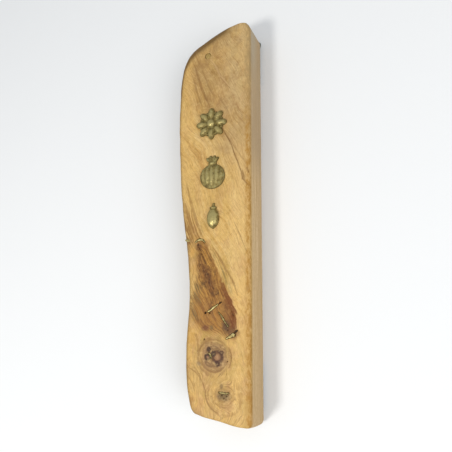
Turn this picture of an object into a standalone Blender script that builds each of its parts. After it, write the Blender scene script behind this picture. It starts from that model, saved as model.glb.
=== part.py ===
"""Mezuzah case: a slab of olive wood with one natural edge, brass ornaments and brass-filled cracks on its
front, a scroll channel closed by a sliding cover in its back, and foam tape pads that hold it to a doorpost.

Metres, +Z up along the case, front face towards -Y, natural edge towards -X. The origin is the centre of the
object's bounding box.
"""

import math

import bmesh
import bpy

MM = 0.001

# Slab
SLAB_THICKNESS = 15 * MM
FRONT_Y = -7 * MM
BACK_Y = FRONT_Y + SLAB_THICKNESS
ARRIS_ROUNDING = 0.9 * MM
OUTLINE_STEPS = 5

# Room left between pieces that meet
GAP = 0.3 * MM

# Scroll channel, routed from the back
CHANNEL_X = 3.2 * MM
CHANNEL_WIDTH = 9.8 * MM
CHANNEL_FLOOR_Y = -3.7 * MM
CHANNEL_BOTTOM_Z = -62 * MM
CHANNEL_TOP_Z = 50 * MM

# Sliding cover and its groove, which runs out at the top end
COVER_THICKNESS = 1.8 * MM
COVER_WIDTH = 13.4 * MM
COVER_BOTTOM_Z = -66 * MM
COVER_TOP_LOW_Z = 75.2 * MM
COVER_TOP_HIGH_Z = 79.4 * MM
GROOVE_LIP = 1.0 * MM
COVER_LOW_Y = BACK_Y - GROOVE_LIP - GAP - COVER_THICKNESS
COVER_HIGH_Y = COVER_LOW_Y + COVER_THICKNESS
SLOT_WIDTH = 10.8 * MM
SLOT_BOTTOM_Z = -63 * MM
PAST_THE_END_Z = 100 * MM
THUMB_NOTCH_RADIUS = 8 * MM
THUMB_NOTCH_DEPTH = 0.8 * MM
THUMB_NOTCH_WIDTH = 7 * MM
THUMB_NOTCH_Z = 66 * MM

# Scroll
SCROLL_LENGTH = 100 * MM
SCROLL_RADIUS = 3.8 * MM
SCROLL_CORE_RADIUS = 1.2 * MM
PARCHMENT_THICKNESS = 0.25 * MM
SCROLL_TURNS = 6
SCROLL_STEPS_PER_TURN = 18
SCROLL_REST = CHANNEL_WIDTH / 2 - math.sqrt((CHANNEL_WIDTH / 2) ** 2 - (SCROLL_RADIUS + GAP) ** 2) + GAP

# Brass ornaments, pinned to the front
ORNAMENT_HEIGHT = 2.0 * MM
ORNAMENT_ROUNDING = 0.7 * MM
ROSETTE_CENTRE = (-0.7 * MM, 37.2 * MM)
ROSETTE_RADIUS = 7.1 * MM
ROSETTE_PETALS = 8
PETAL_DEPTH = 0.13
PETAL_ROUNDNESS = 0.6
ROSETTE_PIN_OFFSET = 3.5 * MM
POMEGRANATE_CENTRE = (0.0, 15.9 * MM)
POMEGRANATE_WIDTH = 11.6 * MM
POMEGRANATE_HEIGHT = 14.6 * MM
POMEGRANATE_SQUAT = 0.98
POMEGRANATE_NECK_ANGLE = math.radians(22)
POMEGRANATE_PINS_Z = (17.6 * MM, 11.6 * MM)
# Half of the crown: (share of the fruit's half width, distance below the crown's top)
CROWN_TIPS = [(-0.5, 0.0), (-0.24, 0.8 * MM), (0.0, 0.1 * MM)]
CROWN_WAIST = (-0.34, 0.3 * MM)
OLIVE_CENTRE = (0.5 * MM, -2.4 * MM)
OLIVE_WIDTH = 5.4 * MM
OLIVE_HEIGHT = 10.4 * MM
OLIVE_TAPER = 0.28
OLIVE_PIN_Z = -3.6 * MM
PIN_RADIUS = 0.6 * MM
PIN_LENGTH = 2.0 * MM
ROUND_SEGMENTS = 20

# Brass set in the wood
FILL_DEPTH = 1.2 * MM
PLUG_RADIUS = 1.3 * MM
PLUG_DEPTH = 2.5 * MM
PLUG_CENTRE = (-2.9 * MM, 69.0 * MM)
EDGE_FILL_CENTRE = (-10.6 * MM, -6.2 * MM, -11.6 * MM)
EDGE_FILL_HALVES = (1.4 * MM, 0.95 * MM, 0.9 * MM)

# Foam tape pads
TAPE_THICKNESS = 1.0 * MM

# Slab outline in millimetres, (x, z), from the straight edge over the top, down the natural edge and back
TOP_END = [(16.2, 78.2), (15.5, 79.7), (13.2, 81.1), (8.4, 80.7), (3.9, 79.4), (-5.0, 75.4), (-11.0, 71.9)]
NATURAL_EDGE = [(-13.6, 68.3), (-15.3, 62.0), (-16.0, 54.0), (-16.2, 43.0), (-15.9, 31.0), (-15.2, 19.0)]
NATURAL_EDGE += [(-14.3, 7.0), (-13.0, -3.0), (-11.6, -12.5), (-10.4, -22.0), (-9.75, -33.0), (-10.1, -43.0)]
NATURAL_EDGE += [(-10.6, -53.0), (-10.5, -62.5), (-9.3, -72.0)]
BOTTOM_END = [(-7.3, -77.2), (-4.5, -78.4), (4.2, -80.0), (13.0, -81.25), (15.4, -80.9), (16.2, -79.4)]

# Centre lines of the long fills in millimetres: (x, z, half width)
FILL_LINES = {
    "arc_fill": [(-7.3, -13.2, 0.4), (-6.4, -12.1, 0.6), (-5.2, -11.6, 0.65), (-2.9, -11.6, 0.4)],
    "crack_fill": [(-1.4, -40.1, 0.5), (0.6, -38.9, 0.75), (2.8, -37.4, 0.5)],
    "vein_fill": [(3.3, -40.7, 0.4), (5.5, -43.4, 0.45), (7.1, -45.5, 0.45)],
    "wedge_fill": [(6.6, -49.9, 0.3), (8.2, -49.1, 0.65), (9.3, -48.4, 0.8)],
    "knot_fill": [(-1.2, -55.4, 0.6), (-0.2, -56.5, 0.75), (0.5, -57.3, 0.5)],
    "base_knot_fill": [(3.5, -69.6, 0.4), (5.4, -69.9, 0.6), (7.5, -69.6, 0.4)],
}

# Tape pads in millimetres: low x, low z, high x, high z
TAPE_PADS = {
    "tape_top_right": (11.4, 60.0, 16.1, 80.2),
    "tape_top_left": (-12.6, 48.0, -6.6, 67.0),
    "tape_bottom_right": (11.4, -78.0, 15.6, -60.0),
    "tape_bottom_left": (-8.8, -72.0, -4.8, -54.0),
}

WOOD = ("olive_wood", (0.56, 0.37, 0.19), 0.55, 0.0)
COVER_WOOD = ("cover_wood", (0.60, 0.42, 0.24), 0.6, 0.0)
BRASS = ("aged_brass", (0.50, 0.42, 0.20), 0.35, 1.0)
FILL_BRASS = ("bright_brass", (0.62, 0.50, 0.24), 0.3, 1.0)
PARCHMENT = ("parchment", (0.78, 0.69, 0.50), 0.8, 0.0)
FOAM = ("foam_tape", (0.20, 0.22, 0.20), 0.9, 0.0)

for old in list(bpy.data.objects):
    bpy.data.objects.remove(old, do_unlink=True)


def new_collection(name):
    made = bpy.data.collections.new(name)
    bpy.context.scene.collection.children.link(made)
    return made


PARTS = new_collection("mezuzah_case")
CUTTERS = new_collection("cutters")
SLAB_CUTTERS = new_collection("slab_cutters")


def finish(obj, look):
    """Gives the object a Principled material of its own."""
    name, colour, roughness, metallic = look
    material = bpy.data.materials.new(f"{name}_{obj.name}")
    material.use_nodes = True
    shader = material.node_tree.nodes["Principled BSDF"]
    shader.inputs["Base Color"].default_value = (*colour, 1.0)
    shader.inputs["Roughness"].default_value = roughness
    shader.inputs["Metallic"].default_value = metallic
    obj.data.materials.clear()
    obj.data.materials.append(material)
    return obj


def as_cutter(obj):
    obj.hide_render = True
    obj.display_type = "WIRE"
    return obj


def object_from_bmesh(name, mesh_edit, collection):
    mesh = bpy.data.meshes.new(name)
    mesh_edit.to_mesh(mesh)
    mesh_edit.free()
    obj = bpy.data.objects.new(name, mesh)
    collection.objects.link(obj)
    return obj


def mesh_from_curve(curve_object, collection):
    """Turns a curve into a closed mesh of the same name and place."""
    bpy.context.view_layer.update()
    graph = bpy.context.evaluated_depsgraph_get()
    mesh = bpy.data.meshes.new_from_object(curve_object.evaluated_get(graph))
    edit = bmesh.new()
    edit.from_mesh(mesh)
    bmesh.ops.remove_doubles(edit, verts=edit.verts, dist=0.002 * MM)
    bmesh.ops.recalc_face_normals(edit, faces=edit.faces)
    edit.to_mesh(mesh)
    edit.free()
    name = curve_object.name
    place = curve_object.matrix_world.copy()
    bpy.data.objects.remove(curve_object, do_unlink=True)
    obj = bpy.data.objects.new(name, mesh)
    obj.matrix_world = place
    collection.objects.link(obj)
    return obj


def flat_piece(name, outline, low_y, high_y, collection=PARTS, rounding=0.0, smooth=False):
    """A flat solid with this outline in x and z, from low_y to high_y, its rims rounded if asked."""
    curve = bpy.data.curves.new(name, "CURVE")
    curve.dimensions = "2D"
    curve.fill_mode = "BOTH"
    curve.extrude = (high_y - low_y) / 2 - rounding
    curve.bevel_depth = rounding
    curve.offset = -rounding
    curve.bevel_resolution = 1
    curve.resolution_u = OUTLINE_STEPS
    if smooth:
        spline = curve.splines.new("BEZIER")
        spline.bezier_points.add(len(outline) - 1)
        for point, (x, z) in zip(spline.bezier_points, outline):
            point.co = (x, z, 0)
            point.handle_left_type = "AUTO"
            point.handle_right_type = "AUTO"
    else:
        spline = curve.splines.new("POLY")
        spline.points.add(len(outline) - 1)
        for point, (x, z) in zip(spline.points, outline):
            point.co = (x, z, 0, 1)
    spline.use_cyclic_u = True
    obj = bpy.data.objects.new(name, curve)
    bpy.context.scene.collection.objects.link(obj)
    obj.rotation_euler = (math.pi / 2, 0, 0)
    obj.location.y = (low_y + high_y) / 2
    if smooth:
        spline.bezier_points[0].handle_left_type = "VECTOR"
        spline.bezier_points[-1].handle_right_type = "VECTOR"
    return mesh_from_curve(obj, collection)


def bar(name, low, high, collection=PARTS):
    """A box between two corners."""
    edit = bmesh.new()
    bmesh.ops.create_cube(edit, size=1.0)
    for vertex in edit.verts:
        vertex.co = [(a + b) / 2 + c * (b - a) for a, b, c in zip(low, high, vertex.co)]
    return object_from_bmesh(name, edit, collection)


def pin(name, x, z, low_y, high_y, radius, collection=PARTS):
    """A cylinder along Y."""
    edit = bmesh.new()
    bmesh.ops.create_cone(
        edit,
        cap_ends=True,
        segments=ROUND_SEGMENTS,
        radius1=radius,
        radius2=radius,
        depth=high_y - low_y,
    )
    obj = object_from_bmesh(name, edit, collection)
    obj.rotation_euler = (math.pi / 2, 0, 0)
    obj.location = (x, (low_y + high_y) / 2, z)
    return obj


def add_boolean(obj, operation, operand):
    modifier = obj.modifiers.new(operation.lower(), "BOOLEAN")
    modifier.operation = operation
    modifier.solver = "EXACT"
    if isinstance(operand, bpy.types.Collection):
        modifier.operand_type = "COLLECTION"
        modifier.collection = operand
    else:
        modifier.object = operand


def fill_outline(line, grow):
    """The closed outline of a fill in metres: its centre line widened to both sides, with pointed ends."""
    points = [(x * MM, z * MM, half * MM + grow) for x, z, half in line]
    left, right = [], []
    for i, (x, z, half) in enumerate(points):
        before = points[max(i - 1, 0)]
        after = points[min(i + 1, len(points) - 1)]
        run_x, run_z = after[0] - before[0], after[1] - before[1]
        length = math.hypot(run_x, run_z)
        across_x, across_z = -run_z / length, run_x / length
        left.append((x + across_x * half, z + across_z * half))
        right.append((x - across_x * half, z - across_z * half))
    (x0, z0, half0), (x1, z1, _) = points[0], points[1]
    (x2, z2, _), (x3, z3, half3) = points[-2], points[-1]
    start, end = math.hypot(x1 - x0, z1 - z0), math.hypot(x3 - x2, z3 - z2)
    foot = (x0 - (x1 - x0) / start * half0, z0 - (z1 - z0) / start * half0)
    tip = (x3 + (x3 - x2) / end * half3, z3 + (z3 - z2) / end * half3)
    return [foot, *left, tip, *reversed(right)]


def make_slab():
    outline = [(x * MM, z * MM) for x, z in TOP_END + NATURAL_EDGE + BOTTOM_END]
    slab = flat_piece("case_body", outline, FRONT_Y, BACK_Y, rounding=ARRIS_ROUNDING, smooth=True)
    add_boolean(slab, "DIFFERENCE", SLAB_CUTTERS)
    return finish(slab, WOOD)


def channel_outline():
    """A routed slot with half-round ends, in metres."""
    radius = CHANNEL_WIDTH / 2
    steps = ROUND_SEGMENTS // 2
    points = []
    for middle, start in ((CHANNEL_TOP_Z - radius, 0.0), (CHANNEL_BOTTOM_Z + radius, math.pi)):
        for i in range(steps + 1):
            angle = start + math.pi * i / steps
            points.append((CHANNEL_X + radius * math.cos(angle), middle + radius * math.sin(angle)))
    return points


def cut_channel_and_groove():
    channel = flat_piece("channel_cutter", channel_outline(), CHANNEL_FLOOR_Y, COVER_LOW_Y, SLAB_CUTTERS)
    as_cutter(channel)
    groove_half = COVER_WIDTH / 2 + GAP
    groove_low = (CHANNEL_X - groove_half, COVER_LOW_Y - GAP, COVER_BOTTOM_Z - GAP)
    groove_high = (CHANNEL_X + groove_half, COVER_HIGH_Y + GAP, PAST_THE_END_Z)
    as_cutter(bar("groove_cutter", groove_low, groove_high, SLAB_CUTTERS))
    slot_low = (CHANNEL_X - SLOT_WIDTH / 2, COVER_HIGH_Y, SLOT_BOTTOM_Z)
    slot_high = (CHANNEL_X + SLOT_WIDTH / 2, BACK_Y + GROOVE_LIP, PAST_THE_END_Z)
    as_cutter(bar("slot_cutter", slot_low, slot_high, SLAB_CUTTERS))


def make_cover():
    """The cover stands on the groove's lower end; its top is cut on the slant of the slab's end."""
    left, right = CHANNEL_X - COVER_WIDTH / 2, CHANNEL_X + COVER_WIDTH / 2
    outline = [
        (left, COVER_BOTTOM_Z),
        (right, COVER_BOTTOM_Z),
        (right, COVER_TOP_HIGH_Z),
        (left, COVER_TOP_LOW_Z),
    ]
    cover = flat_piece("back_cover", outline, COVER_LOW_Y, COVER_HIGH_Y)
    edit = bmesh.new()
    bmesh.ops.create_cone(
        edit,
        cap_ends=True,
        segments=3 * ROUND_SEGMENTS,
        radius1=THUMB_NOTCH_RADIUS,
        radius2=THUMB_NOTCH_RADIUS,
        depth=THUMB_NOTCH_WIDTH,
    )
    notch = as_cutter(object_from_bmesh("thumb_notch_cutter", edit, CUTTERS))
    notch.rotation_euler = (0, math.pi / 2, 0)
    notch.location = (CHANNEL_X, COVER_HIGH_Y + THUMB_NOTCH_RADIUS - THUMB_NOTCH_DEPTH, THUMB_NOTCH_Z)
    add_boolean(cover, "DIFFERENCE", notch)
    return finish(cover, COVER_WOOD)


def make_scroll():
    """A sheet of parchment rolled up: a spiral strip, extruded along Z."""
    count = SCROLL_TURNS * SCROLL_STEPS_PER_TURN
    outer, inner = [], []
    pitch = (SCROLL_RADIUS - SCROLL_CORE_RADIUS) / SCROLL_TURNS
    for i in range(count + 1):
        angle = 2 * math.pi * i / SCROLL_STEPS_PER_TURN
        radius = SCROLL_CORE_RADIUS + pitch * i / SCROLL_STEPS_PER_TURN
        outer.append((radius * math.cos(angle), radius * math.sin(angle)))
        radius -= PARCHMENT_THICKNESS
        inner.append((radius * math.cos(angle), radius * math.sin(angle)))
    scroll = flat_piece("scroll_parchment", outer + inner[::-1], -SCROLL_LENGTH / 2, SCROLL_LENGTH / 2)
    scroll.rotation_euler = (0, 0, 0)
    scroll.location = (
        CHANNEL_X,
        CHANNEL_FLOOR_Y + GAP + SCROLL_RADIUS,
        CHANNEL_BOTTOM_Z + SCROLL_REST + SCROLL_LENGTH / 2,
    )
    return finish(scroll, PARCHMENT)


def rosette_outline():
    """A flower of round petals."""
    x, z = ROSETTE_CENTRE
    steps = 6 * ROSETTE_PETALS
    points = []
    for i in range(steps):
        angle = 2 * math.pi * i / steps
        crest = abs(math.cos(ROSETTE_PETALS * angle / 2)) ** PETAL_ROUNDNESS
        reach = ROSETTE_RADIUS * (1 - PETAL_DEPTH * (1 - crest))
        points.append((x + reach * math.sin(angle), z + reach * math.cos(angle)))
    return points


def pomegranate_outline():
    """A round fruit with a short neck and a flared crown above it."""
    x, z = POMEGRANATE_CENTRE
    half = POMEGRANATE_WIDTH / 2
    tall = half * POMEGRANATE_SQUAT
    high = z + POMEGRANATE_HEIGHT / 2
    fruit_z = z - POMEGRANATE_HEIGHT / 2 + tall
    steps = ROUND_SEGMENTS + 2
    points = []
    for i in range(steps + 1):
        angle = POMEGRANATE_NECK_ANGLE + (2 * math.pi - 2 * POMEGRANATE_NECK_ANGLE) * i / steps
        points.append((x + half * math.sin(angle), fruit_z + tall * math.cos(angle)))
    waist_share, waist_rise = CROWN_WAIST
    crown = [(waist_share, fruit_z + half + waist_rise)]
    crown += [(share, high - drop) for share, drop in CROWN_TIPS]
    points += [(x + share * half, crown_z) for share, crown_z in crown]
    points += [(x - share * half, crown_z) for share, crown_z in reversed(crown[:-1])]
    return points


def olive_outline():
    """A plump drop, slimmer at the top."""
    x, z = OLIVE_CENTRE
    points = []
    for i in range(ROUND_SEGMENTS + 4):
        angle = 2 * math.pi * i / (ROUND_SEGMENTS + 4)
        taper = 1 - OLIVE_TAPER * math.cos(angle)
        points.append((x + OLIVE_WIDTH / 2 * math.sin(angle) * taper, z + OLIVE_HEIGHT / 2 * math.cos(angle)))
    return points


def make_ornament(name, outline, pins):
    """A brass appliqué with rounded rims, and pins that stand in holes in the slab."""
    back_y = FRONT_Y - GAP
    front_y = back_y - ORNAMENT_HEIGHT
    ornament = flat_piece(name, outline, front_y, back_y, rounding=ORNAMENT_ROUNDING)
    for i, (x, z) in enumerate(pins):
        tip_y = FRONT_Y + PIN_LENGTH
        stem = pin(f"{name}_pin_{i}", x, z, back_y - ORNAMENT_HEIGHT / 2, tip_y, PIN_RADIUS, CUTTERS)
        add_boolean(ornament, "UNION", as_cutter(stem))
        hole_low = FRONT_Y - GAP
        as_cutter(pin(f"{name}_hole_{i}", x, z, hole_low, tip_y + GAP, PIN_RADIUS + GAP, SLAB_CUTTERS))
    return finish(ornament, BRASS)


def make_ornaments():
    rosette_x, rosette_z = ROSETTE_CENTRE
    rosette_pins = [(rosette_x, rosette_z + ROSETTE_PIN_OFFSET), (rosette_x, rosette_z - ROSETTE_PIN_OFFSET)]
    make_ornament("rosette_ornament", rosette_outline(), rosette_pins)
    fruit_pins = [(POMEGRANATE_CENTRE[0], z) for z in POMEGRANATE_PINS_Z]
    make_ornament("pomegranate_ornament", pomegranate_outline(), fruit_pins)
    make_ornament("olive_ornament", olive_outline(), [(OLIVE_CENTRE[0], OLIVE_PIN_Z)])


def make_fills():
    """Each fill lies flush with the front, in a pocket that is one gap wider and deeper."""
    for name, line in FILL_LINES.items():
        finish(flat_piece(name, fill_outline(line, 0.0), FRONT_Y, FRONT_Y + FILL_DEPTH), FILL_BRASS)
        pocket = fill_outline(line, GAP)
        as_cutter(
            flat_piece(f"{name}_pocket", pocket, FRONT_Y - GAP, FRONT_Y + FILL_DEPTH + GAP, SLAB_CUTTERS)
        )


def make_plug():
    x, z = PLUG_CENTRE
    finish(pin("top_plug", x, z, FRONT_Y, FRONT_Y + PLUG_DEPTH, PLUG_RADIUS), BRASS)
    low, high = FRONT_Y - GAP, FRONT_Y + PLUG_DEPTH + GAP
    as_cutter(pin("top_plug_hole", x, z, low, high, PLUG_RADIUS + GAP, SLAB_CUTTERS))


def ellipsoid(name, centre, half_sizes, collection):
    edit = bmesh.new()
    bmesh.ops.create_uvsphere(edit, u_segments=ROUND_SEGMENTS, v_segments=ROUND_SEGMENTS // 2, radius=1.0)
    for vertex in edit.verts:
        vertex.co = [c * half for c, half in zip(vertex.co, half_sizes)]
    obj = object_from_bmesh(name, edit, collection)
    obj.location = centre
    return obj


def make_edge_fill():
    """A nugget of brass in a hollow of the natural edge's front arris."""
    finish(ellipsoid("edge_fill", EDGE_FILL_CENTRE, EDGE_FILL_HALVES, PARTS), FILL_BRASS)
    hollow = tuple(half + GAP for half in EDGE_FILL_HALVES)
    as_cutter(ellipsoid("edge_fill_hollow", EDGE_FILL_CENTRE, hollow, SLAB_CUTTERS))


def make_tape_pads():
    low_y = BACK_Y + GAP
    for name, (low_x, low_z, high_x, high_z) in TAPE_PADS.items():
        low = (low_x * MM, low_y, low_z * MM)
        high = (high_x * MM, low_y + TAPE_THICKNESS, high_z * MM)
        finish(bar(name, low, high), FOAM)


cut_channel_and_groove()
make_cover()
make_scroll()
make_ornaments()
make_fills()
make_plug()
make_edge_fill()
make_tape_pads()
make_slab()
for node in PARTS.objects:
    node.data.shade_smooth()
    node.data.set_sharp_from_angle(angle=math.radians(35))
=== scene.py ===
"""Looks of the mezuzah case: a slab of olive wood with a natural edge, cast brass reliefs, brass-filled
cracks, a sliding back cover over a rolled parchment, and foam tape pads.
Lengths are millimetres, and metres on the stage."""

import math

import bmesh
import bpy
import numpy as np
from mathutils import Matrix, Vector, noise
from mathutils.geometry import delaunay_2d_cdt


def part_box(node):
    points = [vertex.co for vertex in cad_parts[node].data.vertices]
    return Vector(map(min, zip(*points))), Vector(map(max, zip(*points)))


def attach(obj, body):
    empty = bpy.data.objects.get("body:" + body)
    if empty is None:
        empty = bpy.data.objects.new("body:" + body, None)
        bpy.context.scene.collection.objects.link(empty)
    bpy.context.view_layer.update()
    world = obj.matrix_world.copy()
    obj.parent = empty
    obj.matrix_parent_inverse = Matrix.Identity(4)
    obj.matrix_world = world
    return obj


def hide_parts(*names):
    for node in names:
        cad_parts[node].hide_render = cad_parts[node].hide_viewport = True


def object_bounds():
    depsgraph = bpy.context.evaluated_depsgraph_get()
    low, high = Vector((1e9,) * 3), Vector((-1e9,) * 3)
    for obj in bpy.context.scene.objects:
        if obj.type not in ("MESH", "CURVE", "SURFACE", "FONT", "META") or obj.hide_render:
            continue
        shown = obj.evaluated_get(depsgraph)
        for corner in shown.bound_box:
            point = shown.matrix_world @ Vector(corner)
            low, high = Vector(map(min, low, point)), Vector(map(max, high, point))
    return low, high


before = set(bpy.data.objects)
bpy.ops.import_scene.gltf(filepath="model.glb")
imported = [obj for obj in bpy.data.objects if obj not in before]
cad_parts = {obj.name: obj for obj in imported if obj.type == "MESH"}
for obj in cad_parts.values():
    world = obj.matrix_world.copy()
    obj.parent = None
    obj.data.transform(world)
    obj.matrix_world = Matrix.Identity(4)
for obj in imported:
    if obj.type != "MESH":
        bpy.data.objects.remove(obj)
cad_low, cad_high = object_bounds()

MM = 0.001
SLAB_LOW, SLAB_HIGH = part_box("case_body")
FRONT = SLAB_LOW.y / MM
BACK = SLAB_HIGH.y / MM

# Slab
ARRIS = 0.9
LIVE_ROUNDING = 1.7
LIVE_SPREAD = 0.35
BACK_DROP = 1.3
WORN_ARRIS = 0.5
RIM_SPACING = 0.5
COARSE = 0.5
FINE = 0.2
FINE_REACH = 0.8
STAIN_REACH = 0.4
CHUNK = 4000
COARSE_FROM_RIM = 0.45
FINE_FROM_RIM = 0.3
ROW_STEP = 0.866
PATINA_AND_SHADE_WIDTH = 2.2
SLAB_SHARP = 50
ROUND_STEPS = 7
SIDE_STEPS = 14
BACK_STEPS = 3

# Channel and groove behind the slab
COVER_LOW, COVER_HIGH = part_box("back_cover")
SCROLL_LOW, SCROLL_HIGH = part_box("scroll_parchment")
CLEARANCE = 0.3
SLOT_INSET = 1.3
CHANNEL_WIDTH = 9.8
CHANNEL_FLOOR = -3.7
CHANNEL_ENDS = (-62.0, 50.0)
SLOT_BOTTOM = -63.0
PAST_THE_END = 100.0

# Cracks and knots of the front: (x, z, half width) along each line
FILL_LINES = {
    "arc_fill": [
        (-7.3, -12.6, 0.15), (-6.6, -11.9, 0.3), (-5.4, -11.5, 0.4), (-4.3, -11.7, 0.34), (-3.2, -12.7, 0.2),
    ],
    "crack_fill": [(-1.4, -40.1, 0.3), (-0.6, -39.6, 0.36), (0.9, -38.5, 0.4), (2.7, -37.4, 0.25)],
    "vein_fill": [
        (3.0, -40.3, 0.1), (4.1, -41.4, 0.22), (5.0, -42.8, 0.34), (5.8, -44.1, 0.2), (7.0, -45.6, 0.14),
    ],
    "wedge_fill": [(6.3, -50.1, 0.15), (7.9, -49.3, 0.46), (9.3, -48.6, 0.72)],
    "knot_fill": [(-0.8, -55.5, 0.2), (-0.3, -56.1, 0.32), (0.1, -56.8, 0.25), (0.2, -57.4, 0.2)],
    "base_knot_fill": [(3.5, -69.6, 0.2), (4.7, -69.7, 0.32), (6.1, -69.9, 0.26), (7.5, -69.6, 0.16)],
}
POCKET_DEPTH = 0.9
POCKET_GAP = 0.08

# Open holes in the wood: x, z, half width, half height, turn in degrees, depth
HOLES = [
    (-2.5, -40.5, 0.5, 0.45, 0, 0.8),
    (-0.7, -40.6, 0.4, 0.3, 20, 0.5),
    (3.7, -36.7, 0.85, 0.32, 32, 0.6),
    (-6.2, -13.6, 0.5, 0.7, -20, 0.3),
    (6.9, -47.0, 0.5, 0.28, 60, 0.35),
    (10.3, -47.3, 0.9, 0.45, 35, 0.5),
    (4.6, -70.5, 0.5, 0.28, -20, 0.4),
    (6.6, -70.8, 0.32, 0.3, 10, 0.4),
    (5.4, -71.6, 0.45, 0.25, 35, 0.35),
    (-2.9, -50.5, 0.38, 0.38, 0, 0.4),
    (6.9, -58.4, 0.32, 0.32, 0, 0.4),
    (9.0, -41.2, 0.25, 1.3, 24, 0.35),
]

# The long crack under the upper ornament
LONG_CRACK = [(3.0, 36.0), (5.0, 33.0), (8.0, 27.5), (9.5, 23.0), (12.5, 15.0), (13.0, 12.0), (16.0, 8.5)]
# The raised line under the top plug
TOP_RIDGE = [(-1.5, 67.0), (1.0, 63.0), (3.0, 58.5), (7.0, 53.0)]
# Knots of the lower half: x, z
BIG_KNOT_PLACE = (1.3, -57.0)
BASE_KNOT_PLACE = (5.4, -69.8)


def arc(x, z, radius, start, end, steps=6):
    """Points of an arc, from one angle in degrees to another."""
    angles = [math.radians(start + (end - start) * i / steps) for i in range(steps + 1)]
    return [(x + radius * math.cos(a), z + radius * math.sin(a)) for a in angles]


# Fine open cracks: (x, z) along each line, with their half width and depth
CRACKS = [
    (LONG_CRACK, 0.11, 0.25),
    ([(-6.9, -13.6), (-5.7, -14.9), (-4.6, -16.8), (-3.6, -19.4)], 0.16, 0.35),
    ([(9.6, -33.6), (10.3, -35.6), (10.9, -37.2)], 0.12, 0.25),
    ([(7.6, -38.3), (8.6, -40.3), (9.3, -42.3)], 0.16, 0.3),
]
# The raised pale line of the grain: half width, and a depth that is negative as it stands proud
RIDGES = [(TOP_RIDGE, 0.22, -0.09)]

# Lines that a darker growth layer draws: (x, z) along each line, half width and strength
STAINS = [
    (LONG_CRACK, 0.2, 0.6),
    ([(12.9, 15.4), (13.5, 13.0), (13.9, 11.0)], 0.4, 0.6),
    ([(6.2, 31.0), (8.6, 27.4), (11.0, 23.6), (14.4, 18.2)], 0.25, 0.3),
    ([(14.8, 16.4), (15.5, 14.4)], 0.7, 0.7),
    ([(x + 0.6, z - 1.2) for x, z in TOP_RIDGE], 0.22, 0.55),
    ([(-9.2, 66.0), (-7.8, 61.2), (-6.0, 55.2), (-3.6, 49.5), (-1.5, 45.0)], 0.45, 0.45),
    ([(-10.8, 62.5), (-9.0, 57.5), (-7.6, 52.0), (-5.6, 46.5)], 0.35, 0.3),
    ([(-5.5, 62.5), (-3.6, 58.0), (-2.0, 53.6), (0.8, 48.6)], 0.3, 0.35),
    ([(1.6, 50.6), (3.6, 47.0), (6.2, 42.8), (8.4, 37.0)], 0.3, 0.3),
    ([(-11.9, 12.0), (-9.6, 4.0), (-6.6, -5.0), (-4.4, -10.0)], 0.5, 0.4),
    ([(-12.2, 4.0), (-10.6, -2.0), (-8.4, -8.5)], 0.6, 0.45),
    ([(-11.6, -3.0), (-10.2, -7.0), (-8.2, -11.5)], 0.5, 0.5),
    ([(0.4, -15.0), (3.0, -18.6), (5.4, -22.4), (9.1, -28.8), (11.0, -34.0)], 0.3, 0.5),
    # around the base knot, in from the natural edge
    (arc(-13.0, -71.5, 11.0, 72, 14) + arc(*BASE_KNOT_PLACE, 7.5, 175, 250), 0.2, 0.5),
    (arc(-15.0, -71.0, 8.5, 58, 0), 0.15, 0.35),
    (arc(*BASE_KNOT_PLACE, 5.0, 200, 285), 0.15, 0.35),
    # around the big knot
    (arc(*BIG_KNOT_PLACE, 7.2, 32, -30), 0.2, 0.6),
    (arc(*BIG_KNOT_PLACE, 6.5, 160, 45), 0.25, 0.4),
    (arc(*BIG_KNOT_PLACE, 5.5, 185, 320), 0.35, 0.4),
    # in and beside the heartwood
    ([(-6.0, -15.0), (-5.0, -18.0), (-6.5, -23.5)], 0.2, 0.5),
    ([(-8.5, -20.0), (-8.0, -24.5), (-9.0, -29.0)], 0.15, 0.45),
    ([(-9.0, -34.0), (-6.0, -40.5), (-5.5, -44.5)], 0.2, 0.6),
    ([(-9.5, -27.0), (-6.5, -36.5)], 0.15, 0.45),
    ([(3.0, -19.5), (5.5, -23.0), (6.5, -26.5)], 0.3, 0.5),
    ([(9.5, -5.5), (12.0, -11.0), (14.5, -17.0)], 0.13, 0.5),
]


def smoothstep(low, high, value):
    t = np.clip((value - low) / (high - low), 0.0, 1.0)
    return t * t * (3 - 2 * t)


def in_3d(points):
    """Rows of (x, z) with a third number of 0, for noise."""
    return np.column_stack([points, np.zeros(len(points))])


def rim_distance(points, rim):
    return np.array([np.linalg.norm(rim - p, axis=1).min() for p in points])


def middle_of(node):
    """Middle of a CAD node in x and z, in millimetres."""
    low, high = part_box(node)
    return (low.x + high.x) / 2 / MM, (low.z + high.z) / 2 / MM


def new_object(name, data):
    made = bpy.data.objects.new(name, data)
    bpy.context.scene.collection.objects.link(made)
    return made


def smooth(obj, sharp=None):
    """Shades an object smooth, except over edges sharper than this many degrees."""
    obj.data.shade_smooth()
    if sharp:
        obj.data.set_sharp_from_angle(angle=math.radians(sharp))
    return obj


def noise_at(points, scale, seed=0.0):
    """Perlin noise at rows of points, in -1..1."""
    shift = Vector((seed, seed * 1.7, seed * 2.3))
    return np.array([noise.noise(Vector(p) * scale + shift) for p in points])


# ---------------------------------------------------------------- meshes


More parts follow.
